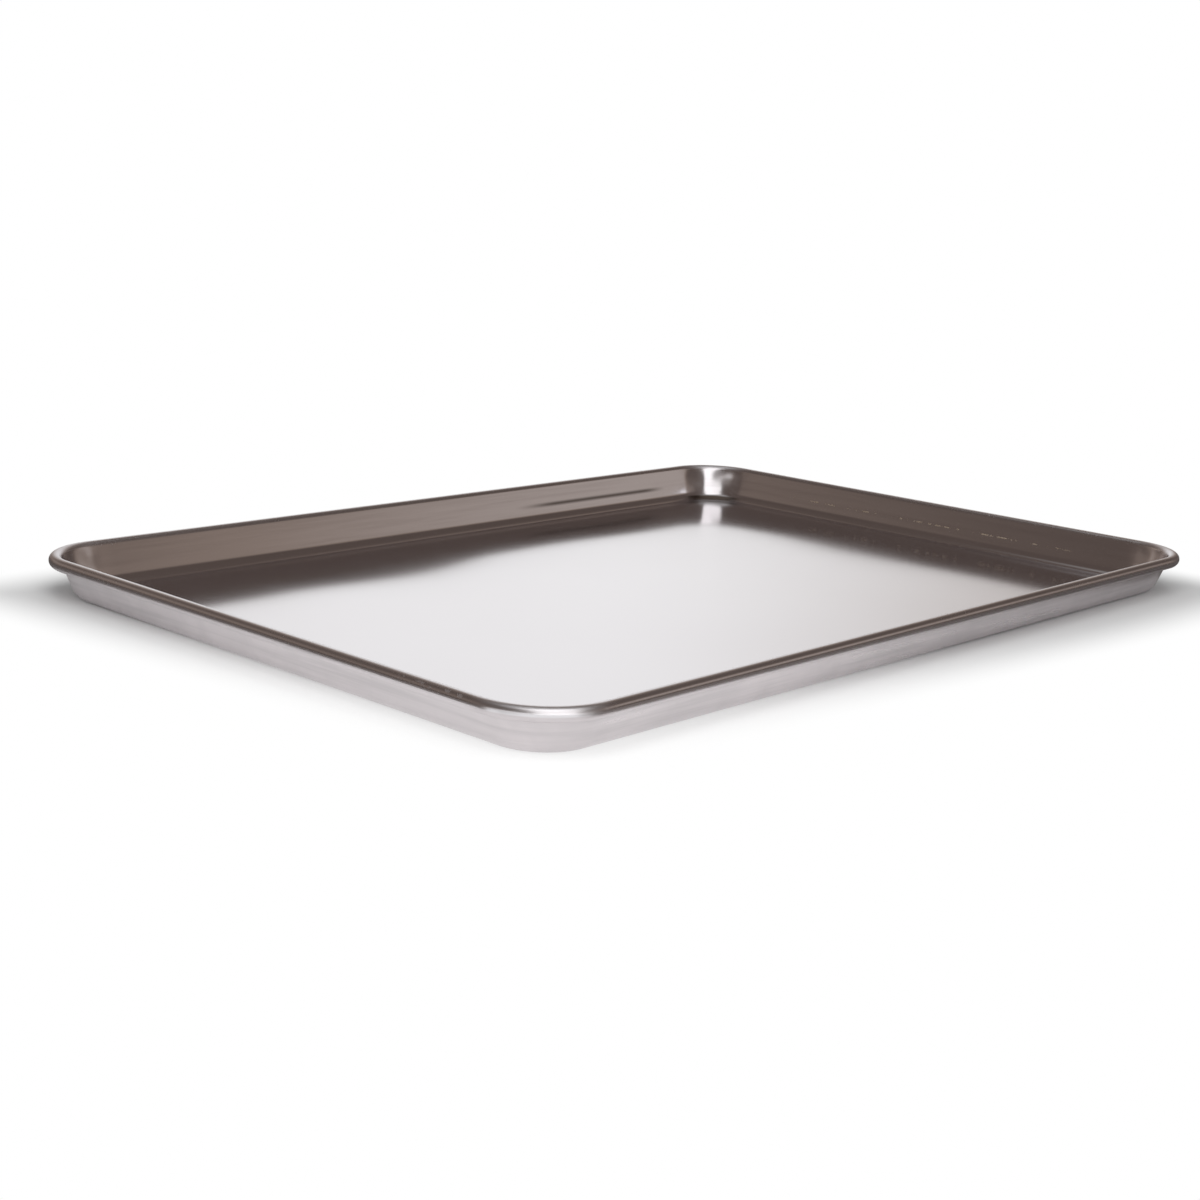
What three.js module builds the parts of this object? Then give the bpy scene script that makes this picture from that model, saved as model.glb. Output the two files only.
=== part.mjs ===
// A full-size sheet pan: one stamped aluminium sheet with its edge curled round a steel wire.
// Millimetres, +Z up, +X along the long side, origin at the centre of the underside.
import * as THREE from "three";
import { mergeVertices, toCreasedNormals } from "three/addons/utils/BufferGeometryUtils.js";

// Driving sizes
const PAN_LENGTH = 660.4; // over the rim bead, along X
const PAN_WIDTH = 457.2; // over the rim bead, along Y
const PAN_HEIGHT = 28.6; // underside to the top of the bead
const SHEET_THICKNESS = 1.3;
const WIRE_DIAMETER = 4.8;
const WIRE_CLEARANCE = 0.3; // between the wire and the curl, all round
const WIRE_END_GAP = 1.2; // between the two butted ends of the wire
const CURL_EDGE_GAP = 0.4; // between the raw edge of the curl and the wall
const WALL_FLARE = THREE.MathUtils.degToRad(20); // lean of the walls from upright
const BOTTOM_RADIUS = 9.5; // inside the pan, from the floor up into the walls
const RIM_CORNER_RADIUS = 46; // plan radius over the bead
const FLOOR_CORNER_RADIUS = 25; // plan radius of the flat floor

// Fineness of the round stretches
const CORNER_DIVISIONS = 5; // a plan corner has twice as many steps
const BEAD_STEPS = 24;
const BOTTOM_STEPS = 6;
const WIRE_SIDES = 16;
const WELD = 1e-4; // points closer than this are one point
const CREASE = THREE.MathUtils.degToRad(30); // sharper edges are drawn as edges

// Sizes that follow from the driving ones
const CURL_RADIUS = WIRE_DIAMETER / 2 + WIRE_CLEARANCE; // inside of the curl
const BEAD_RADIUS = CURL_RADIUS + SHEET_THICKNESS;
const BEAD_DIAMETER = 2 * BEAD_RADIUS;
const BEAD_Z = PAN_HEIGHT - BEAD_RADIUS;
const FILLET_Z = SHEET_THICKNESS + BOTTOM_RADIUS;
// The wall's inner face is tangent to the bead and to the bottom fillet.
const FLOOR_INSET =
  BEAD_RADIUS +
  (BEAD_RADIUS + BOTTOM_RADIUS + (BEAD_Z - FILLET_Z) * Math.sin(WALL_FLARE)) / Math.cos(WALL_FLARE);
// The raw edge stops where its outer corner is one gap away from the wall.
const CURL_END = 2 * Math.PI + WALL_FLARE - Math.acos((CURL_RADIUS - CURL_EDGE_GAP) / BEAD_RADIUS);

// Plan corner radius at an inset, the distance in from the outermost line of the bead
function cornerRadius(inset) {
  const acrossBead = Math.min(inset, BEAD_DIAMETER);
  const share = Math.max(inset - BEAD_DIAMETER, 0) / (FLOOR_INSET - BEAD_DIAMETER);
  const drop = RIM_CORNER_RADIUS - BEAD_DIAMETER - FLOOR_CORNER_RADIUS;
  return RIM_CORNER_RADIUS - acrossBead - drop * share;
}

// Plan line at an inset, from the middle of the back side round to it again
function planLine(inset, endGap) {
  const radius = cornerRadius(inset);
  const x = PAN_LENGTH / 2 - inset - radius;
  const y = PAN_WIDTH / 2 - inset - radius;
  const quarter = Math.PI / 2;
  const line = new THREE.Path();
  line.moveTo(-endGap / 2, y + radius);
  line.lineTo(-x, y + radius);
  line.absarc(-x, y, radius, quarter, 2 * quarter);
  line.absarc(-x, -y, radius, 2 * quarter, 3 * quarter);
  line.absarc(x, -y, radius, 3 * quarter, 4 * quarter);
  line.absarc(x, y, radius, 0, quarter);
  line.lineTo(endGap / 2, y + radius);
  return line.getPoints(CORNER_DIVISIONS);
}

// Points of an arc in a section, where x is the inset and y the height
function sectionArc([inset, height], radius, from, to, steps) {
  const turnsBack = to < from;
  const arc = new THREE.EllipseCurve(inset, height, radius, radius, from, to, turnsBack);
  return arc.getPoints(steps);
}

// One row of points for each section point, carried along its own plan line
function sweep(section, endGap) {
  return section.map((point) =>
    planLine(point.x, endGap).map((place) => new THREE.Vector3(place.x, place.y, point.y)),
  );
}

// Two triangles for each cell between neighbouring rows
function skin(rows) {
  const triangles = [];
  for (let i = 1; i < rows.length; i++) {
    for (let j = 1; j < rows[i].length; j++) {
      const [a, b, c, d] = [rows[i - 1][j - 1], rows[i][j - 1], rows[i][j], rows[i - 1][j]];
      triangles.push(a, b, c, a, c, d);
    }
  }
  return triangles;
}

// Triangles that fill a flat round loop from its middle
function fan(middle, loop) {
  const triangles = [];
  for (let j = 1; j < loop.length; j++) {
    triangles.push(middle, loop[j - 1], loop[j]);
  }
  return triangles;
}

function closedGeometry(triangles) {
  const soup = new THREE.BufferGeometry().setFromPoints(triangles);
  return toCreasedNormals(mergeVertices(soup, WELD), CREASE);
}

// The sheet runs from the floor up the inside, round the curl and down the outside.
function sheetGeometry() {
  const fillet = [FLOOR_INSET, FILLET_Z];
  const bead = [BEAD_RADIUS, BEAD_Z];
  const floorTurn = 1.5 * Math.PI;
  const wallTurn = Math.PI + WALL_FLARE;
  const outerRadius = BOTTOM_RADIUS + SHEET_THICKNESS;
  const section = [
    ...sectionArc(fillet, BOTTOM_RADIUS, floorTurn, wallTurn, BOTTOM_STEPS),
    ...sectionArc(bead, BEAD_RADIUS, WALL_FLARE, CURL_END, BEAD_STEPS),
    ...sectionArc(bead, CURL_RADIUS, CURL_END, WALL_FLARE, BEAD_STEPS),
    ...sectionArc(fillet, outerRadius, wallTurn, floorTurn, BOTTOM_STEPS),
  ];
  const rows = sweep(section, 0);
  const floor = fan(new THREE.Vector3(0, 0, SHEET_THICKNESS), rows[0]);
  const underside = fan(new THREE.Vector3(0, 0, 0), rows.at(-1).toReversed());
  return closedGeometry([...skin(rows), ...floor, ...underside]);
}

// The wire lies in the middle of the curl, and its ends butt at the middle of the back side.
function wireGeometry() {
  const section = sectionArc([BEAD_RADIUS, BEAD_Z], WIRE_DIAMETER / 2, 0, 2 * Math.PI, WIRE_SIDES);
  const rows = sweep(section, WIRE_END_GAP);
  const [middle] = sweep([new THREE.Vector2(BEAD_RADIUS, BEAD_Z)], WIRE_END_GAP);
  const firstEnd = rows.map((row) => row[0]).reverse();
  const lastEnd = rows.map((row) => row.at(-1));
  const ends = [...fan(middle[0], firstEnd), ...fan(middle.at(-1), lastEnd)];
  return closedGeometry([...skin(rows), ...ends]);
}

const aluminium = new THREE.MeshStandardMaterial({
  name: "satin_aluminium",
  color: 0xd8d6d4,
  roughness: 0.28,
  metalness: 1,
});
const steel = new THREE.MeshStandardMaterial({
  name: "galvanised_steel",
  color: 0xa6a8aa,
  roughness: 0.45,
  metalness: 1,
});

const pieces = {
  pan_sheet: [sheetGeometry(), aluminium],
  rim_wire: [wireGeometry(), steel],
};

const sheetPan = new THREE.Group();
sheetPan.name = "sheet_pan";
for (const [name, [geometry, material]] of Object.entries(pieces)) {
  const mesh = new THREE.Mesh(geometry, material);
  mesh.name = name;
  sheetPan.add(mesh);
}

export default sheetPan;
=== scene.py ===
# %% [markdown]
# A sheet pan looks simple, and that is what makes it a good lesson: it is one stamped sheet of
# aluminium, and all that the eye reads is the shape of its reflections. The CAD frame gives the true
# sizes and the wire inside the rim, and this script gives the pan a smooth skin, a worn satin finish
# and a small studio to reflect.

# %% Load the frame
import math
from types import SimpleNamespace

import bmesh
import bpy
from mathutils import Matrix, Vector, noise


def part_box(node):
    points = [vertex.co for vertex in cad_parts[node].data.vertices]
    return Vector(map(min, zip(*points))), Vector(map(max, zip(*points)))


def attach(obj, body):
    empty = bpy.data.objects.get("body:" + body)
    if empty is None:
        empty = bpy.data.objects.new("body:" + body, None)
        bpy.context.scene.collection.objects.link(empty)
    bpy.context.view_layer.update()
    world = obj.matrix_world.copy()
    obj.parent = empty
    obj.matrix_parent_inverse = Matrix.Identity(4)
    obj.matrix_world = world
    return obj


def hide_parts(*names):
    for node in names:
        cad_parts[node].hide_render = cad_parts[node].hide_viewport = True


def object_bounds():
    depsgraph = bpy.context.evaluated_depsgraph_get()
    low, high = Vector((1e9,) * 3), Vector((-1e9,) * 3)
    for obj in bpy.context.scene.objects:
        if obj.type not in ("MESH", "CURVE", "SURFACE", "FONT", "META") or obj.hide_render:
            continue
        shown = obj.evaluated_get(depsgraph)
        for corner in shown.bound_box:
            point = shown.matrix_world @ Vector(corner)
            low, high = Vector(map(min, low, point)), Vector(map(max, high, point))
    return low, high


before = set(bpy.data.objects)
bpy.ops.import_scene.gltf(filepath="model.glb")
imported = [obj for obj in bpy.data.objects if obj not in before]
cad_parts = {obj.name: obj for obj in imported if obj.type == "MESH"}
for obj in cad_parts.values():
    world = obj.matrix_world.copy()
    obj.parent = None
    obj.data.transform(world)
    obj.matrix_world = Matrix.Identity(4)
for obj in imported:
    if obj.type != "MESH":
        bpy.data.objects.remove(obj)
cad_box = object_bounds()
print("CAD box, metres:", [[round(n, 4) for n in corner] for corner in cad_box])

# %% [markdown]
# The sheet is curled round the wire, so the wire is the best thing to measure from. Its box gives the
# line that the middle of the rim bead follows. The other sizes are those of the pressing tools: the
# lean of the walls, the curve at their foot and the plan radius of the corners. From these follow the
# upright axis of a corner and the edge of the flat floor.

# %% Sizes of the pan, in metres
wire_low, wire_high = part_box("rim_wire")
WIRE_RADIUS = (wire_high.z - wire_low.z) / 2
RIM_X = wire_high.x - WIRE_RADIUS
RIM_Y = wire_high.y - WIRE_RADIUS
RIM_Z = wire_high.z - WIRE_RADIUS

SHEET = 0.0013
CURL_CLEARANCE = 0.0003
WALL_FLARE = math.radians(20)
BOTTOM_RADIUS = 0.0095
RIM_CORNER = 0.046

CURL_RADIUS = WIRE_RADIUS + CURL_CLEARANCE
BEAD_RADIUS = CURL_RADIUS + SHEET
AXIS_X = RIM_X + BEAD_RADIUS - RIM_CORNER
AXIS_Y = RIM_Y + BEAD_RADIUS - RIM_CORNER
FILLET_Z = SHEET + BOTTOM_RADIUS
WALL_SHIFT = BEAD_RADIUS + BOTTOM_RADIUS + (RIM_Z - FILLET_Z) * math.sin(WALL_FLARE)
FLOOR_EDGE_X = RIM_X - WALL_SHIFT / math.cos(WALL_FLARE)
FLOOR_EDGE_Y = FLOOR_EDGE_X - AXIS_X + AXIS_Y


def mm(metres):
    """Metres as rounded millimetres, for the printed lines."""
    return round(1000 * metres, 3)


print("bead", mm(2 * BEAD_RADIUS), "mm, flat floor to x =", mm(FLOOR_EDGE_X), "mm")

# %% [markdown]
# A pressed pan is a sweep: one section carried round a rounded rectangle. The section starts as a
# single vertex on the axis of a corner. It is extruded along the floor, spun up the bottom curve,
# extruded up the wall and spun round the bead, so each operator makes the stretch that it is good at.
# Short rows beside each curve keep the smooth shading of the curve off the flat faces.

# %% Draw the section
CURL_EDGE_GAP = 0.0004
CURL_TURN = 2 * math.pi - math.acos((CURL_RADIUS - CURL_EDGE_GAP) / BEAD_RADIUS)
SUPPORT = 0.0008
FLOOR_SUPPORT = 0.003
FILLET_STEPS = 14
WALL_STEPS = 6
BEAD_STEPS = 52


def grow(bm, tip, step):
    """Extrude one loose vertex by a step, and give the new tip."""
    new_tip = bmesh.ops.extrude_vert_indiv(bm, verts=[tip])["verts"][0]
    bmesh.ops.translate(bm, verts=[new_tip], vec=step)
    return new_tip


def swing(bm, tip, centre, axis, angle, steps):
    """Spin one loose vertex into an arc, and give the new tip."""
    made = bmesh.ops.spin(bm, geom=[tip], cent=centre, axis=axis, angle=angle, steps=steps)
    return next(item for item in made["geom_last"] if isinstance(item, bmesh.types.BMVert))


def draw_section(bm):
    """The inner face of the sheet in the plane y = AXIS_Y, from the corner's axis to the raw edge."""
    inward = Vector((-math.cos(WALL_FLARE), 0, math.sin(WALL_FLARE)))
    fillet = Vector((FLOOR_EDGE_X, AXIS_Y, FILLET_Z))
    bead = Vector((RIM_X, AXIS_Y, RIM_Z))
    wall = (bead + BEAD_RADIUS * inward) - (fillet - BOTTOM_RADIUS * inward)
    tip = bm.verts.new((AXIS_X, AXIS_Y, SHEET))
    tip = grow(bm, tip, (FLOOR_EDGE_X - FLOOR_SUPPORT - AXIS_X, 0, 0))
    tip = grow(bm, tip, (FLOOR_SUPPORT, 0, 0))
    tip = swing(bm, tip, fillet, (0, -1, 0), math.pi / 2 - WALL_FLARE, FILLET_STEPS)
    tip = grow(bm, tip, wall.normalized() * SUPPORT)
    for _ in range(WALL_STEPS):
        tip = grow(bm, tip, wall.normalized() * ((wall.length - 2 * SUPPORT) / WALL_STEPS))
    tip = grow(bm, tip, wall.normalized() * SUPPORT)
    swing(bm, tip, bead, (0, 1, 0), CURL_TURN, BEAD_STEPS)


bm = bmesh.new()
draw_section(bm)
print("section:", len(bm.edges), "edges, rising to", mm(max(v.co.z for v in bm.verts)), "mm")

# %% [markdown]
# A quarter turn of the section about the corner's axis makes one corner. On the pressed pan the
# corner opens out a little towards the floor, because tight corners tear, so the lower rows get a
# larger radius than a plain spin gives: each point slides by the same small amount along both sides.

# %% Turn one corner
FLOOR_CORNER = 0.025
CORNER_STEPS = 22
WALL_TOP_REACH = RIM_CORNER - 2 * BEAD_RADIUS
FLOOR_REACH = FLOOR_EDGE_X - AXIS_X
OPENING_OUT = FLOOR_CORNER - FLOOR_REACH


def ease(vert):
    """How much larger the plan radius is at this point than in the plain spin."""
    reach = math.hypot(vert.co.x - AXIS_X, vert.co.y - AXIS_Y)
    if reach > FLOOR_REACH:
        share = (WALL_TOP_REACH - reach) / (WALL_TOP_REACH - FLOOR_REACH)
    else:
        share = reach / FLOOR_REACH
    return OPENING_OUT * max(share, 0)


bmesh.ops.spin(
    bm,
    geom=bm.verts[:] + bm.edges[:],
    cent=(AXIS_X, AXIS_Y, 0),
    axis=(0, 0, 1),
    angle=math.pi / 2,
    steps=CORNER_STEPS,
)
for vert in bm.verts:
    angle = math.atan2(vert.co.y - AXIS_Y, vert.co.x - AXIS_X)
    vert.co += ease(vert) * Vector((math.cos(angle) - 1, math.sin(angle) - 1, 0))
print("corner:", len(bm.faces), "faces, opened out by", mm(OPENING_OUT), "mm at the floor")

# %% [markdown]
# The two open ends of the corner are extruded to the pan's middle planes. Each step scales the new
# row towards the plane, so the last one lands on it exactly. The floor between the corner's axis and
# the middle is one more extrusion.

# %% Run the sides to the middle
X, Y, Z = range(3)
LONG_STEPS = 20
SHORT_STEPS = 14
SAME_PLACE = 1e-6


def run_to_middle(bm, edges, axis, steps):
    """Extrude edges in even steps until they lie on the middle plane across the axis."""
    for left in range(steps, 0, -1):
        made = bmesh.ops.extrude_edge_only(bm, edges=edges)["geom"]
        verts = [item for item in made if isinstance(item, bmesh.types.BMVert)]
        edges = [item for item in made if isinstance(item, bmesh.types.BMEdge)]
        squeeze = Vector((1, 1, 1))
        squeeze[axis] = (left - 1) / left
        bmesh.ops.scale(bm, vec=squeeze, verts=verts)


def open_edges(bm):
    """The edges that have a face on one side only."""
    return [edge for edge in bm.edges if edge.is_boundary]


def within(edge, axis, limit):
    """True for an edge that doesn't go past a limit on the axis."""
    return all(v.co[axis] <= limit + SAME_PLACE for v in edge.verts)


def on_line(edge, axis, value):
    """True for an edge whose ends both have this value on the axis."""
    return all(abs(v.co[axis] - value) < SAME_PLACE for v in edge.verts)


bmesh.ops.remove_doubles(bm, verts=bm.verts[:], dist=SAME_PLACE)
first_end = [edge for edge in open_edges(bm) if within(edge, Y, AXIS_Y)]
last_end = [edge for edge in open_edges(bm) if within(edge, X, AXIS_X)]
run_to_middle(bm, first_end, Y, SHORT_STEPS)
run_to_middle(bm, last_end, X, LONG_STEPS)
floor_end = [edge for edge in open_edges(bm) if on_line(edge, Y, AXIS_Y) and on_line(edge, Z, SHEET)]
run_to_middle(bm, floor_end, Y, SHORT_STEPS)
print("quarter of the pan:", len(bm.faces), "faces")

# %% [markdown]
# The pan is the same on both sides of its middle planes, so two mirrors make the other three quarters.
# The rows on the planes are merged, and the normals are worked out again, because a mirror can turn
# faces inside out. The middle of the floor then tells whether they all have to be turned up.

# %% Mirror the quarter
for mirror_axis in ("X", "Y"):
    everything = bm.verts[:] + bm.edges[:] + bm.faces[:]
    bmesh.ops.mirror(bm, geom=everything, matrix=Matrix(), merge_dist=SAME_PLACE, axis=mirror_axis)
bmesh.ops.remove_doubles(bm, verts=bm.verts[:], dist=SAME_PLACE)
bmesh.ops.recalc_face_normals(bm, faces=bm.faces[:])
middle = min(bm.faces, key=lambda face: face.calc_center_median().length)
if middle.normal.z < 0:
    bmesh.ops.reverse_faces(bm, faces=bm.faces[:])
print("whole inner face:", len(bm.faces), "faces,", len(open_edges(bm)), "open edges at the raw edge")

# %% [markdown]
# No pressed sheet is perfectly flat. The floor of a used pan is a few hundredths of a millimetre up
# and down, which nobody feels and everybody sees, because the reflections swim. A slow noise lifts
# the floor, and a weaker one breathes along the walls and the rim. The foot of the walls stays put,
# so the pan still stands on its own level ring.

# %% Let the sheet breathe
FLOOR_LIFT = 0.0001
FLOOR_WAVE = 0.16
FLOOR_CALM = 0.03
WALL_BREATH = 0.00007
WALL_WAVE = 0.07


def floor_margin(co):
    """How far inside the edge of the flat floor a point lies."""
    return min(FLOOR_EDGE_X - abs(co.x), FLOOR_EDGE_Y - abs(co.y))


bm.normal_update()
for vert in bm.verts:
    margin = min(max(floor_margin(vert.co) / FLOOR_CALM, 0), 1)
    if margin > 0:
        wave = 0.5 + 0.5 * noise.noise(vert.co / FLOOR_WAVE)
        vert.co.z += FLOOR_LIFT * wave * margin
    elif vert.co.z > FILLET_Z:
        vert.co += vert.normal * (WALL_BREATH * noise.noise(vert.co / WALL_WAVE))
print("floor lifted by", mm(max(v.co.z for v in middle.verts) - SHEET), "mm near the middle")

# %% [markdown]
# Now the skin becomes a sheet. Solidify pushes a copy of the face down and out by the thickness of the
# metal and joins the two along the raw edge, which is what a real edge is. Doing it last means that
# inside, outside and underside all share the same small waves.

# %% Give the sheet its thickness
SHARP_ANGLE = math.radians(35)

bmesh.ops.solidify(bm, geom=bm.faces[:], thickness=SHEET)
pan_mesh = bpy.data.meshes.new("pan_skin")
bm.to_mesh(pan_mesh)
bm.free()
for polygon in pan_mesh.polygons:
    polygon.use_smooth = True
pan_mesh.set_sharp_from_angle(angle=SHARP_ANGLE)
pan_skin = bpy.data.objects.new("pan_skin", pan_mesh)
bpy.context.scene.collection.objects.link(pan_skin)
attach(pan_skin, "root")
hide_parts("pan_sheet")
heights = [mm(v.co.z) for v in pan_mesh.vertices]
print("pan_skin:", len(pan_mesh.polygons), "faces, from z", min(heights), "to", max(heights), "mm")

# %% [markdown]
# A material is a tree of nodes, and one helper keeps the trees below short: it places a node, sets its
# options and either links or sets each input. The first tree is the grain. Rolled and drawn metal has
# faint lines along the way it ran through the mill or the die. A picture of brushed metal could give
# them, but noise that is stretched along some axes keeps its true scale on any piece. It is made a node
# group, because the sheet, the wire and the streaks on the pan's walls all use it with their own sizes.

# %% Node group: drawn grain
GRAIN_DETAIL = 4.0
GRAIN_ROUGHNESS = 0.6


def put(tree, kind, inputs=None, **options):
    """Add a shader node. An input that is a socket is linked, and any other value is set."""
    made = tree.nodes.new("ShaderNode" + kind)
    for name, value in options.items():
        setattr(made, name, value)
    for name, value in (inputs or {}).items():
        if isinstance(value, bpy.types.NodeSocket):
            tree.links.new(value, made.inputs[name])
        else:
            made.inputs[name].default_value = value
    return made


def new_group(name, inputs, outputs):
    """A node group with named sockets, and its two end nodes."""
    tree = bpy.data.node_groups.new(name, "ShaderNodeTree")
    for title, kind in inputs.items():
        tree.interface.new_socket(name=title, in_out="INPUT", socket_type="NodeSocket" + kind)
    for title, kind in outputs.items():
        tree.interface.new_socket(name=title, in_out="OUTPUT", socket_type="NodeSocket" + kind)
    return tree, tree.nodes.new("NodeGroupInput"), tree.nodes.new("NodeGroupOutput")


def make_grain():
    """Lines of a given closeness, drawn out along each axis by the stretch, as a height from 0 to 1."""
    tree, inside, outside = new_group(
        "drawn_grain",
        {"Vector": "Vector", "Stretch": "Vector", "Lines per metre": "Float"},
        {"Height": "Float"},
    )
    drawn = put(
        tree,
        "VectorMath",
        {0: inside.outputs["Vector"], 1: inside.outputs["Stretch"]},
        operation="DIVIDE",
    )
    lines = put(
        tree,
        "TexNoise",
        {
            "Vector": drawn.outputs[0],
            "Scale": inside.outputs["Lines per metre"],
            "Detail": GRAIN_DETAIL,
            "Roughness": GRAIN_ROUGHNESS,
        },
    )
    tree.links.new(lines.outputs["Fac"], outside.inputs["Height"])
    return tree


def use_grain(tree, place, stretch, lines):
    """Place the grain group in a tree."""
    return put(
        tree,
        "Group",
        {"Vector": place, "Stretch": stretch, "Lines per metre": lines},
        node_tree=grain_group,
    ).outputs["Height"]


grain_group = make_grain()
print("group:", grain_group.name)

# %% [markdown]
# Hands, cloths and ovens leave soft patches that are a little duller than the rest. They are noise
# again. A smooth step spreads it to the full range from 0 to 1, because plain noise seldom leaves the
# middle of its range and nothing about such patches is sharp.

# %% Node group: handling cloud
CLOUD_DETAIL = 3.0
CLOUD_DISTORTION = 0.4
CLOUD_RANGE = (0.3, 0.7)


def smooth_step(tree, value, low, high):
    """0 on the low side, 1 on the high side and a smooth slope between, whichever is larger."""
    step = put(
        tree,
        "MapRange",
        {"Value": value, "From Min": low, "From Max": high},
        interpolation_type="SMOOTHSTEP",
    )
    return step.outputs["Result"]


def make_cloud():
    """Soft patches, as a mask from 0 to 1."""
    tree, inside, outside = new_group(
        "handling_cloud",
        {"Vector": "Vector", "Patches per metre": "Float"},
        {"Mask": "Float"},
    )
    patches = put(
        tree,
        "TexNoise",
        {
            "Vector": inside.outputs["Vector"],
            "Scale": inside.outputs["Patches per metre"],
            "Detail": CLOUD_DETAIL,
            "Distortion": CLOUD_DISTORTION,
        },
    )
    tree.links.new(smooth_step(tree, patches.outputs["Fac"], *CLOUD_RANGE), outside.inputs["Mask"])
    return tree


def use_cloud(tree, place, patches):
    """Place the cloud group in a tree."""
    return put(
        tree,
        "Group",
        {"Vector": place, "Patches per metre": patches},
        node_tree=cloud_group,
    ).outputs["Mask"]


cloud_group = make_cloud()
print("group:", cloud_group.name)

# %% [markdown]
# What makes the pan look used is wear, and each kind of wear needs a mask that says where it is. Masks
# could be painted, but those that are worked out from a point's place keep their scale and stay sharp.
# They start from a few measures of the point: its place, its distance from the middle planes and how
# far its surface faces up, which tells the floor, the inner walls and the outer walls apart.

# %% Measure a point of the pan


def sums(tree, operation, first, second):
    """One step of arithmetic on two values, each a socket or a number."""
    return put(tree, "Math", {0: first, 1: second}, operation=operation).outputs[0]


def measure(tree):
    """Where a point of the pan is and which way its surface faces, as sockets."""
    coordinates = put(tree, "TexCoord")
    place = coordinates.outputs["Object"]
    x, y, z = put(tree, "SeparateXYZ", {"Vector": place}).outputs
    return SimpleNamespace(
        place=place,
        x=x,
        y=y,
        z=z,
        far_x=sums(tree, "ABSOLUTE", x, 0),
        far_y=sums(tree, "ABSOLUTE", y, 0),
        facing_up=put(tree, "SeparateXYZ", {"Vector": coordinates.outputs["Normal"]}).outputs["Z"],
    )


print("measures: place, x, y, z, far_x, far_y, facing_up")

# %% [markdown]
# Nested pans rub a line half way up the inner walls. The mask of that line is a product of two simple
# conditions, a height and a surface that leans as the inner walls do. Masks are built that way all
# through this script, because each condition can then be tried and moved on its own.

# %% Find the rub line of nested pans
RUB_HEIGHT = 0.0132
INNER_WALL_FACING = (0.1, 0.3, 0.45, 0.6)


def all_of(tree, *masks):
    """The product of masks: 1 only where all of them are 1."""
    product = masks[0]
    for mask in masks[1:]:
        product = sums(tree, "MULTIPLY", product, mask)
    return product


def band(tree, value, start, full, hold, end):
    """0 up to the start, 1 from full to hold and 0 again from the end on, with smooth slopes."""
    return all_of(tree, smooth_step(tree, value, start, full), smooth_step(tree, value, end, hold))


def distance_from(tree, value, middle):
    """How far a value is from a middle, on either side."""
    return sums(tree, "ABSOLUTE", sums(tree, "SUBTRACT", value, middle), 0)


def find_rub_line(tree, spot, width):
    """The line on the inner walls where the pan above rests."""
    return all_of(
        tree,
        smooth_step(tree, distance_from(tree, spot.z, RUB_HEIGHT), width, 0),
        band(tree, spot.facing_up, *INNER_WALL_FACING),
    )


print("rub line at", mm(RUB_HEIGHT), "mm")

# %% [markdown]
# On the short walls the rub line is a row of bright nicks. On the long ones a soft dark line is laid into
# the colour at the same height. Nicks are noise that is cut sharply, so that only specks are left of it.
# The dark line is soft, so it needs only its two ends.

# %% Nicks on the rub line, and a dark line at its height
WALL_EASE = 0.01
UNSTRETCHED = (1, 1, 1)
NICKS_PER_METRE = 150
NICK_CUT = (0.5, 0.56)
NICK_WIDTH = 0.0009
NICK_SPAN = 0.14
NICK_SPAN_EASE = 0.02
# A soft dark line laid into the colour of the long walls: how wide it is and where it runs.
DARK_LINE_WIDTH = 0.0024
DARK_LINE_SPAN = (0.08, 0.13, 0.232, 0.262)


def find_nicks(tree, spot):
    """A row of small nicks along the rub line of the short walls."""
    return all_of(
        tree,
        smooth_step(tree, use_grain(tree, spot.place, UNSTRETCHED, NICKS_PER_METRE), *NICK_CUT),
        find_rub_line(tree, spot, NICK_WIDTH),
        smooth_step(tree, spot.far_x, AXIS_X, AXIS_X + WALL_EASE),
        smooth_step(tree, spot.far_y, NICK_SPAN, NICK_SPAN - NICK_SPAN_EASE),
    )


def find_dark_line(tree, spot):
    """A soft dark line of colour at the rub line's height on the long walls."""
    return all_of(
        tree,
        find_rub_line(tree, spot, DARK_LINE_WIDTH),
        smooth_step(tree, spot.far_y, AXIS_Y, AXIS_Y + WALL_EASE),
        band(tree, spot.x, *DARK_LINE_SPAN),
    )


print("smear from x =", mm(DARK_LINE_SPAN[0]), "to", mm(DARK_LINE_SPAN[-1]), "mm")

# %% [markdown]
# The bead takes the knocks, so it is duller than the walls. The wire in it runs at an even distance
# round the box between the corners' axes, so what lies further out than the wire belongs to the bead.
# Its inner half, which leans over the wall, is found by its height.

# %% Find the bead
BEAD_LINE = RIM_CORNER - BEAD_RADIUS
BEAD_EASE = 0.001
ANY_HEIGHT = 1


def reach_past(tree, place, corner):
    """How far a place lies outside the box between a corner and its opposite."""
    from_middle = put(tree, "VectorMath", {0: place}, operation="ABSOLUTE").outputs[0]
    past = put(tree, "VectorMath", {0: from_middle, 1: corner}, operation="SUBTRACT").outputs[0]
    outside = put(tree, "VectorMath", {0: past, 1: (0, 0, 0)}, operation="MAXIMUM").outputs[0]
    return put(tree, "VectorMath", {0: outside}, operation="LENGTH").outputs["Value"]


def find_bead(tree, spot):
    """The bead, outside the line of its wire or above the top of the wall."""
    reach = reach_past(tree, spot.place, (AXIS_X, AXIS_Y, ANY_HEIGHT))
    outer = smooth_step(tree, reach, BEAD_LINE - BEAD_EASE, BEAD_LINE)
    crest = smooth_step(tree, spot.z, RIM_Z + BEAD_EASE, RIM_Z + 2 * BEAD_EASE)
    return sums(tree, "MAXIMUM", outer, crest)


print("middle of the bead", mm(BEAD_LINE), "mm from the corners' axes")

# %% [markdown]
# A few scuffs are strewn along the top of the bead, and one place near the front corner has many. Noise
# that is cut off high leaves single specks. A second, slower noise decides where the few of them
# gather, and the knocked place is a stretch of the rim that is given by its middle and its span.

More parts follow.
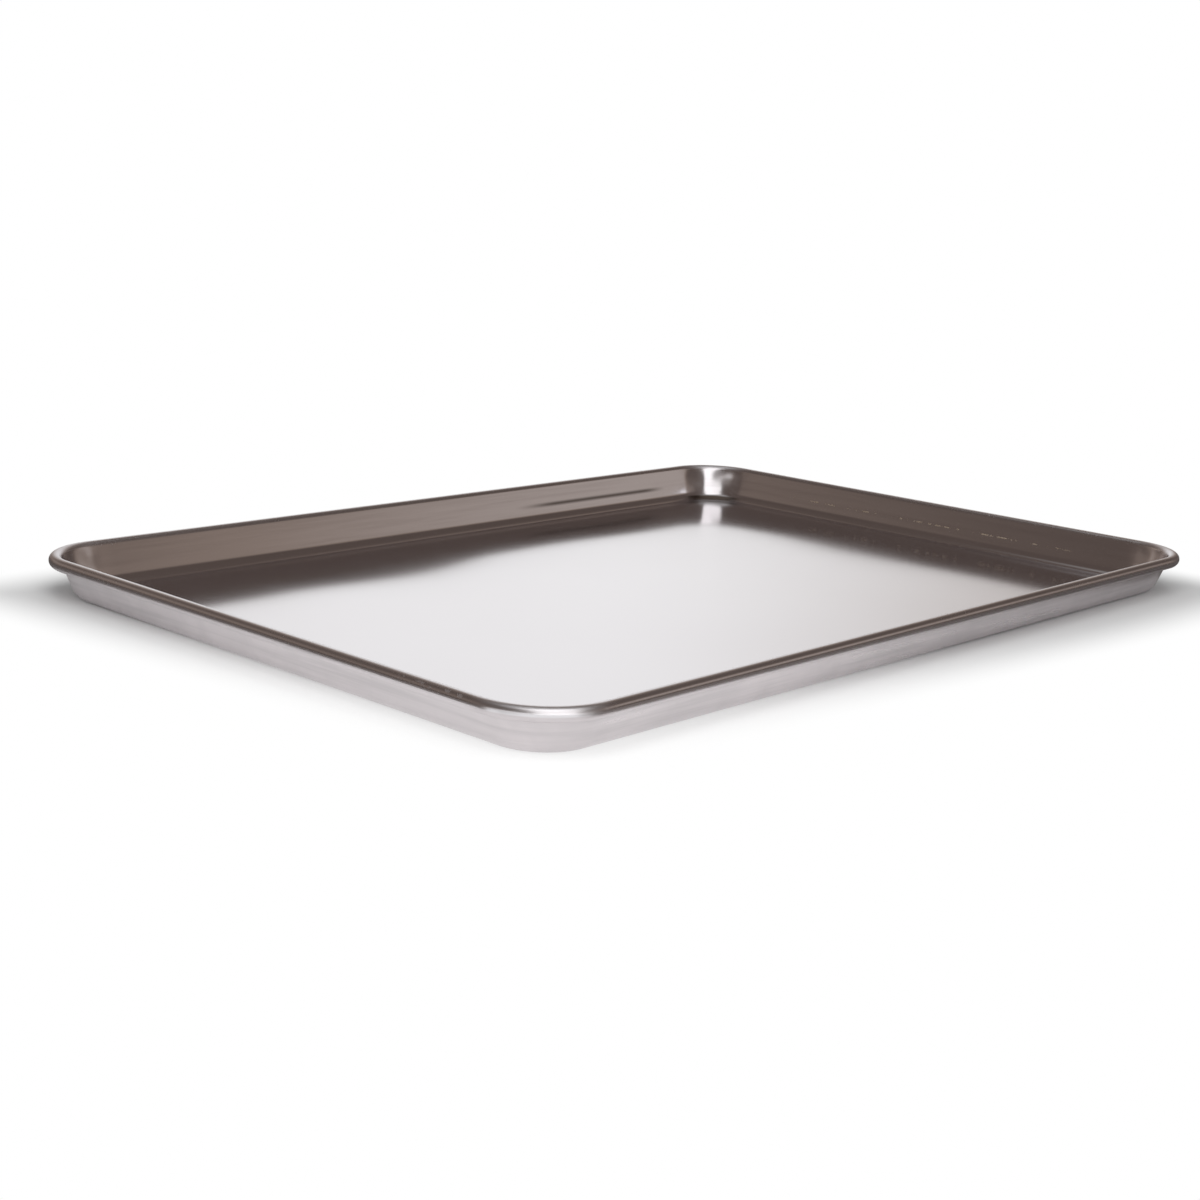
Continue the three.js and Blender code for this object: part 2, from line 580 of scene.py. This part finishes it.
# %% Scuffs on the bead
SCUFFS_PER_METRE = 420
SCUFF_CUT = (0.62, 0.7)
SCUFF_PATCHES_PER_METRE = 9
SCUFF_PATCH_CUT = (0.62, 0.8)
KNOCK_Y = -0.152
KNOCK_SPAN = 0.03
KNOCK_SPAN_EASE = 0.01
KNOCK_STRETCH = (1, 2, 1)
KNOCK_CUT = (0.54, 0.6)
KNOCK_FACING = (0.25, 0.4, 0.7, 0.85)


def find_scuffs(tree, spot):
    """Scuffs on the bead: a few here and there, and many where the rim was knocked."""
    few = all_of(
        tree,
        smooth_step(tree, use_grain(tree, spot.place, UNSTRETCHED, SCUFFS_PER_METRE), *SCUFF_CUT),
        smooth_step(tree, use_cloud(tree, spot.place, SCUFF_PATCHES_PER_METRE), *SCUFF_PATCH_CUT),
    )
    many = all_of(
        tree,
        smooth_step(tree, use_grain(tree, spot.place, KNOCK_STRETCH, SCUFFS_PER_METRE), *KNOCK_CUT),
        band(tree, spot.facing_up, *KNOCK_FACING),
        smooth_step(tree, spot.x, 0, -RIM_X),
        smooth_step(tree, distance_from(tree, spot.y, KNOCK_Y), KNOCK_SPAN, KNOCK_SPAN - KNOCK_SPAN_EASE),
    )
    on_bead = smooth_step(tree, spot.z, RIM_Z, RIM_Z + BEAD_EASE)
    return all_of(tree, on_bead, sums(tree, "MAXIMUM", few, many))


print("knocked place at y =", mm(KNOCK_Y), "mm")

# %% [markdown]
# The corners are duller too, because the press stretches the metal there. Their bottom curves get painted
# shade, a dark brown laid into the colour. How far the surface faces up tells the curve from the wall above
# it and the floor below, so the painted shade needs no measured outline.

# %% Wear and painted shade in the corners
CORNER_EASE = 0.007
# Where the painted shade lies in the corners' bottom curves, and how much of it is left in places.
CORNER_SHADE_FACING = (0.6, 0.75, 0.97, 0.998)
CORNER_SHADE_TOP = (FILLET_Z + 0.002, FILLET_Z - 0.001)
CORNER_SHADE_COVER = (0.85, 1.0)


def spread(tree, mask, low, high):
    """Turn a mask from 0 to 1 into a value from low to high."""
    return put(tree, "MapRange", {"Value": mask, "To Min": low, "To Max": high}).outputs["Result"]


def find_corners(tree, spot):
    """The four corners, from the floor up to the rim."""
    return all_of(
        tree,
        smooth_step(tree, spot.far_x, AXIS_X - CORNER_EASE, AXIS_X + CORNER_EASE),
        smooth_step(tree, spot.far_y, AXIS_Y - CORNER_EASE, AXIS_Y + CORNER_EASE),
    )


def find_corner_shade(tree, spot, corners, patches):
    """Painted shade in the bottom curves of the corners, a little lighter in places."""
    return all_of(
        tree,
        corners,
        band(tree, spot.facing_up, *CORNER_SHADE_FACING),
        smooth_step(tree, spot.z, *CORNER_SHADE_TOP),
        spread(tree, patches, *CORNER_SHADE_COVER),
    )


print("film up to", mm(CORNER_SHADE_TOP[0]), "mm in the corners")

# %% [markdown]
# Three bumps bend the light on the sheet. A slow swell, a few waves to the metre, makes the edges of the
# reflections on the floor swim. It is stronger than the true waves of the mesh, and it dies out towards
# the walls. The press leaves weak puckers where it draws the corners' walls, which break up the bright
# strip there. On top lies the rolling grain, too fine to see from a step away, and the relief of the nicks.

# %% Swell, puckers and grain of the sheet
SWELLS_PER_METRE = 5
SWELL_HEIGHT = 0.004
SWELL_CALM = 0.05
PUCKERS_PER_METRE = 60
PUCKER_HEIGHT = 0.0025
PUCKER_RISE = (SHEET, FILLET_Z, RIM_Z, RIM_Z + 0.002)
ROLLING_PER_METRE = 2200
ROLLING_STRETCH = (80, 1, 1)
GRAIN_HEIGHT = 0.0001
GRAIN_STRENGTH = 0.015
NICK_RELIEF = 4


def waves(tree, place, per_metre):
    """Smooth waves without any detail, from 0 to 1."""
    return put(tree, "TexNoise", {"Vector": place, "Scale": per_metre, "Detail": 0}).outputs["Fac"]


def raise_bump(tree, height, strength, distance, over=None):
    """A bumped normal, over the normal of an earlier bump if one is given."""
    inputs = {"Height": height, "Strength": strength, "Distance": distance}
    if over is not None:
        inputs["Normal"] = over
    return put(tree, "Bump", inputs).outputs["Normal"]


def bend_light(tree, spot, corners, scuffed):
    """The bumped normal of the sheet."""
    inland = sums(
        tree,
        "MINIMUM",
        smooth_step(tree, spot.far_x, FLOOR_EDGE_X, FLOOR_EDGE_X - SWELL_CALM),
        smooth_step(tree, spot.far_y, FLOOR_EDGE_Y, FLOOR_EDGE_Y - SWELL_CALM),
    )
    swell = raise_bump(tree, waves(tree, spot.place, SWELLS_PER_METRE), inland, SWELL_HEIGHT)
    drawn = all_of(tree, corners, band(tree, spot.z, *PUCKER_RISE))
    pucker = raise_bump(tree, waves(tree, spot.place, PUCKERS_PER_METRE), drawn, PUCKER_HEIGHT, swell)
    rolling = use_grain(tree, spot.place, ROLLING_STRETCH, ROLLING_PER_METRE)
    relief = sums(tree, "ADD", rolling, sums(tree, "MULTIPLY", scuffed, NICK_RELIEF))
    return raise_bump(tree, relief, GRAIN_STRENGTH, GRAIN_HEIGHT, pucker)


print("swells:", SWELLS_PER_METRE, "and puckers:", PUCKERS_PER_METRE, "to the metre")

# %% [markdown]
# All the masks are gathered under their names, so that the finish can go through them one by one. Four
# are simple enough to be made here: the soft patches, the outside, which faces down, the level streaks
# that wiping leaves on the walls, fainter inside, and the blotches outside, where the pan is handled.

# %% Gather the wear and painted shade of the pan
PATCHES_PER_METRE = 7
OUTSIDE_FACING = (0, -0.25)
STREAKS_PER_METRE = 200
STREAK_STRETCH = (30, 30, 1)
STREAK_CUT = (0.4, 0.75)
STREAKS_INSIDE_OUTSIDE = (0.35, 1.0)
SCUFF_SHARE = 0.6
BLOTCHES_PER_METRE = 45
BLOTCH_SHARE = 0.4


def gather_wear_and_shade(tree, spot):
    """Every mask of the pan, by name."""
    patches = use_cloud(tree, spot.place, PATCHES_PER_METRE)
    outside = smooth_step(tree, spot.facing_up, *OUTSIDE_FACING)
    lines = use_grain(tree, spot.place, STREAK_STRETCH, STREAKS_PER_METRE)
    streaks = smooth_step(tree, lines, *STREAK_CUT)
    on_walls = smooth_step(tree, spot.z, SHEET, FILLET_Z)
    nicks = find_nicks(tree, spot)
    scuffs = sums(tree, "MULTIPLY", find_scuffs(tree, spot), SCUFF_SHARE)
    corners = find_corners(tree, spot)
    return {
        "patches": patches,
        "outside": outside,
        "wiped": all_of(tree, streaks, spread(tree, outside, *STREAKS_INSIDE_OUTSIDE), on_walls),
        "blotches": all_of(tree, outside, use_cloud(tree, spot.place, BLOTCHES_PER_METRE), BLOTCH_SHARE),
        "dark_line": find_dark_line(tree, spot),
        "nicks": nicks,
        "scuffed": sums(tree, "MAXIMUM", nicks, scuffs),
        "bead": find_bead(tree, spot),
        "corners": corners,
        "corner_shade": find_corner_shade(tree, spot, corners, patches),
    }


print("streaks:", STREAKS_PER_METRE, "and blotches:", BLOTCHES_PER_METRE, "to the metre")

# %% [markdown]
# Now the finish itself. Aluminium is a plain metal shader with a nearly neutral grey, a little darker
# and rougher outside. Each mask then lays its own colour over what is there or adds its share of
# roughness. Two short tables say which, so a kind of wear is changed in one place.

# %% Finish of the pan
METAL = (0.765, 0.745, 0.765, 1)
WORN_METAL = (0.57, 0.54, 0.55, 1)
COLOURS_OVER = {
    "outside": (0.7, 0.655, 0.668, 1),
    "wiped": WORN_METAL,
    "blotches": WORN_METAL,
    # a soft dark line laid into the colour of the long walls
    "dark_line": (0.2, 0.18, 0.175, 1),
    "nicks": (0.84, 0.74, 0.6, 1),
    # painted shade: dark brown in the bottom curves of the corners
    "corner_shade": (0.12, 0.088, 0.068, 1),
}
SATIN = (0.12, 0.14)
ROUGHER_BY = {"wiped": 0.06, "scuffed": 0.4, "outside": 0.15, "bead": 0.12, "corners": 0.08}


def new_material(name):
    """An empty node material and its tree."""
    material = bpy.data.materials.new(name)
    material.use_nodes = True
    material.node_tree.nodes.clear()
    return material, material.node_tree


def mix_colour(tree, factor, first, second):
    """Mix two colours, each a socket or a plain colour."""
    return put(tree, "Mix", {0: factor, 6: first, 7: second}, data_type="RGBA").outputs[2]


def make_metal(tree, colour, roughness, normal):
    """Make a plain metal the surface of a material."""
    metal = put(
        tree,
        "BsdfPrincipled",
        {"Base Color": colour, "Roughness": roughness, "Metallic": 1.0, "Normal": normal},
    )
    put(tree, "OutputMaterial", {"Surface": metal.outputs["BSDF"]})


def finish_pan():
    """Satin aluminium with streaks, worn places, painted shade and bumps."""
    material, tree = new_material("satin_aluminium")
    spot = measure(tree)
    wear_and_shade = gather_wear_and_shade(tree, spot)
    colour = METAL
    # The colours laid over include painted shade in the corner curves and a dark line on the long walls.
    for name, shade in COLOURS_OVER.items():
        colour = mix_colour(tree, wear_and_shade[name], colour, shade)
    roughness = spread(tree, wear_and_shade["patches"], *SATIN)
    for name, extra in ROUGHER_BY.items():
        roughness = sums(tree, "ADD", roughness, sums(tree, "MULTIPLY", wear_and_shade[name], extra))
    make_metal(tree, colour, roughness, bend_light(tree, spot, wear_and_shade["corners"], wear_and_shade["scuffed"]))
    return material


pan_mesh.materials.append(finish_pan())
print("pan finish:", pan_mesh.materials[0].name)

# %% [markdown]
# The wire can hardly be seen: only its dark line shows through the slit under the rim. It is still
# given its own zinc coat, whose crystals make flat patches of slightly different grey. Voronoi cells
# are the node for that, because each cell has one colour all over.

# %% Finish of the wire
DARK_ZINC = (0.34, 0.35, 0.36, 1)
PALE_ZINC = (0.46, 0.47, 0.48, 1)
CRYSTALS_PER_METRE = 420.0
DULL_PATCHES_PER_METRE = 60
ZINC_ROUGHNESS = (0.35, 0.55)
DRAWN_PER_METRE = 2500
DRAWN_STRETCH = (20, 20, 1)
DRAWN_STRENGTH = 0.2


def finish_wire():
    """Galvanised steel: zinc patches over drawn lines."""
    material, tree = new_material("galvanised_steel")
    place = put(tree, "TexCoord").outputs["Object"]
    crystals = put(tree, "TexVoronoi", {"Vector": place, "Scale": CRYSTALS_PER_METRE})
    shade = put(tree, "SeparateColor", {"Color": crystals.outputs["Color"]}).outputs["Red"]
    colour = mix_colour(tree, shade, DARK_ZINC, PALE_ZINC)
    roughness = spread(tree, use_cloud(tree, place, DULL_PATCHES_PER_METRE), *ZINC_ROUGHNESS)
    drawn = use_grain(tree, place, DRAWN_STRETCH, DRAWN_PER_METRE)
    make_metal(tree, colour, roughness, raise_bump(tree, drawn, DRAWN_STRENGTH, GRAIN_HEIGHT))
    return material


wire_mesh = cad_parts["rim_wire"].data
wire_mesh.materials.clear()
wire_mesh.materials.append(finish_wire())
print("wire finish:", wire_mesh.materials[0].name)

# %% [markdown]
# The camera stands low in front of one corner. Its place and angles come from fitting the outline of
# the real pan, and it is rolled a little, as a camera held by hand is. Its heading also gives the studio
# its directions away from the camera and to the right.

# %% Camera
CAMERA_PLACE = (-0.903522, -0.790723, 0.273928)
CAMERA_HEADING = 0.746467
CAMERA_DIP = 0.230087
CAMERA_ROLL = 0.047026
PICTURE_SIDE = 1200
FOCAL_PIXELS = 1848.533
SENSOR = 36.0
AWAY = (math.cos(CAMERA_HEADING), math.sin(CAMERA_HEADING), 0)
RIGHT = (math.sin(CAMERA_HEADING), -math.cos(CAMERA_HEADING), 0)

camera_data = bpy.data.cameras.new("photo_camera")
camera_data.sensor_width = SENSOR
camera_data.sensor_fit = "HORIZONTAL"
camera_data.lens = FOCAL_PIXELS / PICTURE_SIDE * SENSOR
camera = bpy.data.objects.new("photo_camera", camera_data)
camera.matrix_world = (
    Matrix.Translation(CAMERA_PLACE)
    @ Matrix.Rotation(CAMERA_HEADING - math.pi / 2, 4, "Z")
    @ Matrix.Rotation(math.pi / 2 - CAMERA_DIP, 4, "X")
    @ Matrix.Rotation(CAMERA_ROLL, 4, "Z")
)
bpy.context.scene.collection.objects.link(camera)
bpy.context.scene.camera = camera
bpy.context.scene.view_settings.view_transform = "Standard"
print("lens", round(camera_data.lens, 2), "mm")

# %% [markdown]
# Metal shows its surroundings, so the studio is part of the finish. Behind the pan hangs a roll of
# white paper, and white boards stand behind the camera. To both sides the room is dim and warm, with a
# wall that is a little paler. A photograph of a room would do as a sky, but smooth steps of the
# direction need no picture and can be fitted one by one. Their levels go from 0, the dark of the room,
# to 1, white.

# %% Levels of the studio
PAPER_MIDDLE = -0.07
PAPER_SIDES = (0.65, 0.05)
PAPER_BACK = (0.0, 0.3)
PAPER_TOP = (0.85, 0.3)
BOARDS_BACK = (-0.35, -0.65)
BOARDS_TOP = (0.4, 0.25)
WALLS_RISE = (0.1, 0.27, 0.34, 0.56)
RIGHT_WALL_BACK = (-0.4, 0.15)
RIGHT_WALL_SIDE = (0.75, 0.95)
RIGHT_WALL_LEVEL = 0.42
LEFT_WALL_BACK = (-0.35, 0.0)
LEFT_WALL_SIDE = (-0.4, -0.8)
LEFT_WALL_FAR = (0.15, 0.4)
LEFT_WALL_LEVELS = (0.16, 0.32)


def studio_level(tree, back, right, up):
    """How bright the studio is in a direction, from its parts away from the camera, right and up."""
    paper = all_of(
        tree,
        smooth_step(tree, distance_from(tree, right, PAPER_MIDDLE), *PAPER_SIDES),
        smooth_step(tree, back, *PAPER_BACK),
        smooth_step(tree, up, *PAPER_TOP),
    )
    boards = all_of(tree, smooth_step(tree, back, *BOARDS_BACK), smooth_step(tree, up, *BOARDS_TOP))
    walls = band(tree, up, *WALLS_RISE)
    right_wall = all_of(
        tree,
        RIGHT_WALL_LEVEL,
        smooth_step(tree, back, *RIGHT_WALL_BACK),
        smooth_step(tree, right, *RIGHT_WALL_SIDE),
        walls,
    )
    left_wall = all_of(
        tree,
        spread(tree, smooth_step(tree, back, *LEFT_WALL_FAR), *LEFT_WALL_LEVELS),
        smooth_step(tree, back, *LEFT_WALL_BACK),
        smooth_step(tree, right, *LEFT_WALL_SIDE),
        walls,
    )
    level = sums(tree, "MAXIMUM", paper, boards)
    return sums(tree, "MAXIMUM", level, sums(tree, "MAXIMUM", right_wall, left_wall))


print("studio levels: right wall", RIGHT_WALL_LEVEL, "left wall, near and far", LEFT_WALL_LEVELS)

# %% [markdown]
# Only mirrored rays see that studio, with a grey ceiling straight overhead. The camera sees the plain
# white of the background, and everything else is lit by an even dome, so the light on a surface doesn't
# depend on what the metal mirrors. A colour ramp turns each level into a shade, warm where it is dark.

# %% Studio sky
WHITE = (1, 1, 1, 1)
CEILING = (0.5, 0.495, 0.49, 1)
CEILING_RISE = (0.86, 0.94)
DOME = (0.33, 0.33, 0.33, 1)
ROOM_SHADES = {
    0: (0.1, 0.076, 0.066, 1),
    0.25: (0.28, 0.22, 0.185, 1),
    0.5: (0.5, 0.45, 0.42, 1),
    1: WHITE,
}


def shade_ramp(tree, value, shades):
    """A colour for each value from 0 to 1, with straight slopes between the named shades."""
    ramp = put(tree, "ValToRGB", {"Fac": value})
    stops = ramp.color_ramp.elements
    for place in list(shades)[1:-1]:
        stops.new(place)
    for stop, (place, shade) in zip(stops, shades.items()):
        stop.position = place
        stop.color = shade
    return ramp.outputs["Color"]


def share_along(tree, vector, direction):
    """The part of a vector that lies along a direction."""
    return put(tree, "VectorMath", {0: vector, 1: direction}, operation="DOT_PRODUCT").outputs["Value"]


def kinds_of_ray(tree):
    """Two masks: 1 for what the camera sees itself, and 1 for what it sees in metal or through glass."""
    ray = put(tree, "LightPath").outputs
    mirrored = sums(tree, "MAXIMUM", ray["Is Glossy Ray"], ray["Is Transmission Ray"])
    return ray["Is Camera Ray"], mirrored


def make_sky():
    """The world: the studio for mirrored rays, white for the camera and an even dome for the rest."""
    world = bpy.data.worlds.new("studio")
    bpy.context.scene.world = world
    world.use_nodes = True
    tree = world.node_tree
    tree.nodes.clear()
    direction = put(tree, "TexCoord").outputs["Generated"]
    up = put(tree, "SeparateXYZ", {"Vector": direction}).outputs["Z"]
    back = share_along(tree, direction, AWAY)
    right = share_along(tree, direction, RIGHT)
    studio = shade_ramp(tree, studio_level(tree, back, right, up), ROOM_SHADES)
    studio = mix_colour(tree, smooth_step(tree, up, *CEILING_RISE), studio, CEILING)
    by_camera, mirrored = kinds_of_ray(tree)
    seen = mix_colour(tree, mirrored, DOME, studio)
    seen = mix_colour(tree, by_camera, seen, WHITE)
    glow = put(tree, "Background", {"Color": seen, "Strength": 1.0})
    put(tree, "OutputWorld", {"Surface": glow.outputs["Background"]})
    return world


print("sky:", make_sky().name)

# %% [markdown]
# Two soft boxes light the pan. The large one, behind the camera, makes the bright strip in the back
# corner and the highlight on the front one. The small one stands close in front and is there for the
# paper only, so the metal doesn't mirror it. Brightness is given per area, so a box keeps its look
# when it is made larger.

# %% Lamps


def add_softbox(name, heading, rise, distance, width, height, glow):
    """An area lamp that looks at the pan from a heading and a rise, both in degrees."""
    data = bpy.data.lights.new(name, "AREA")
    data.shape = "RECTANGLE"
    data.size = width
    data.size_y = height
    data.energy = glow * math.pi * width * height
    lamp = bpy.data.objects.new(name, data)
    turn = CAMERA_HEADING + math.radians(heading)
    flat = math.cos(math.radians(rise))
    place = Vector((math.cos(turn) * flat, math.sin(turn) * flat, math.sin(math.radians(rise))))
    lamp.location = distance * place
    lamp.rotation_euler = place.to_track_quat("Z", "Y").to_euler()
    lamp.visible_camera = False
    bpy.context.scene.collection.objects.link(lamp)
    print(name, round(data.energy, 2), "W")
    return lamp


add_softbox("box_front", heading=-165, rise=43, distance=1.5, width=1.15, height=1.9, glow=1.3)
table_light = add_softbox(
    "table_light", heading=169, rise=32, distance=0.79, width=0.3, height=0.3, glow=7.3
)
table_light.visible_glossy = False

# %% [markdown]
# The floor is plain white paper. Near the pan it is lit like anything else and keeps the soft shadow.
# Further out it fades into the white of the background, for the camera and for mirrored rays alike. In
# front of the near corner the fade starts closer to the pan. That is a painted pool of light: it brightens
# the paper there, paints out the shadow on that side and brightens what the outer walls mirror.

# %% Floor
FLOOR_SIDE = 16.0
FADE_TO = 0.06
# The painted pool of light in front of the near corner: how much closer the white fade comes, and where it
# starts.
PAINTED_POOL_LIFT = 0.04
PAINTED_POOL_FROM = -0.4
PAPER = (0.9, 0.9, 0.9, 1)


def show(name, mesh, material):
    """Give a mesh its material and put it in the scene."""
    mesh.materials.append(material)
    made = bpy.data.objects.new(name, mesh)
    bpy.context.scene.collection.objects.link(made)
    return made


def finish_paper():
    """White paper that is lit near the pan and plain white further out, with a painted pool of white light
    reaching closer in front of the near corner.
    """
    material, tree = new_material("white_paper")
    place = put(tree, "TexCoord").outputs["Object"]
    reach = reach_past(tree, place, cad_box[1])
    # Painted pool of light: in front of the near corner the white fade is moved closer to the pan.
    painted_pool = smooth_step(tree, share_along(tree, place, AWAY), 0, PAINTED_POOL_FROM)
    reach = sums(tree, "ADD", reach, sums(tree, "MULTIPLY", painted_pool, PAINTED_POOL_LIFT))
    looked_at = sums(tree, "MAXIMUM", *kinds_of_ray(tree))
    far = all_of(tree, smooth_step(tree, reach, 0, FADE_TO), looked_at)
    paper = put(tree, "BsdfDiffuse", {"Color": PAPER})
    white = put(tree, "Emission", {"Color": WHITE, "Strength": 1.0})
    mixed = put(tree, "MixShader", {0: far, 1: paper.outputs["BSDF"], 2: white.outputs["Emission"]})
    put(tree, "OutputMaterial", {"Surface": mixed.outputs["Shader"]})
    return material


floor_mesh = bpy.data.meshes.new("paper_floor")
bm = bmesh.new()
bmesh.ops.create_grid(bm, x_segments=1, y_segments=1, size=FLOOR_SIDE / 2)
bm.to_mesh(floor_mesh)
bm.free()
show("paper_floor", floor_mesh, finish_paper())
print("floor:", FLOOR_SIDE, "m wide")

# %% [markdown]
# Bright metal gets its outline from what is dark around it, so a studio lays dark cards beside it. Two
# flat cards lie left and right of the pan, each an L along two of its sides. The near and the far corner
# stay open, and each edge slants in towards the side corners, so the outer walls darken to both sides.
# Only mirrored rays see the cards: they are hidden from the camera and cast no shadow.

# %% Dark cards
CARD_EDGES = {1: (0.045, 0.01), -1: (0.02, -0.004)}
CARD_LEVEL = 0.0005
CARD_REACH = 7.0
CARD_COLOUR = (0.2, 0.175, 0.165, 1)


def cut_cards():
    """Both cards as one mesh. The second is the first turned by half a turn, with its own edges."""
    side_x, side_y = cad_box[1][:2]
    bm = bmesh.new()
    for turn, (near, far) in CARD_EDGES.items():
        corners = [
            (-CARD_REACH, -AXIS_Y),
            (-side_x - near, -AXIS_Y),
            (-side_x - far, side_y + far),
            (AXIS_X, side_y + near),
            (AXIS_X, CARD_REACH),
            (-CARD_REACH, CARD_REACH),
        ]
        bm.faces.new([bm.verts.new((turn * x, turn * y, CARD_LEVEL)) for x, y in corners])
    mesh = bpy.data.meshes.new("dark_cards")
    bm.to_mesh(mesh)
    bm.free()
    return mesh


def finish_card():
    """Plain matt card."""
    material, tree = new_material("dark_card")
    matt = put(tree, "BsdfDiffuse", {"Color": CARD_COLOUR})
    put(tree, "OutputMaterial", {"Surface": matt.outputs["BSDF"]})
    return material


cards = show("dark_cards", cut_cards(), finish_card())
cards.visible_camera = False
cards.visible_diffuse = False
cards.visible_shadow = False
print("cards:", len(cards.data.polygons))
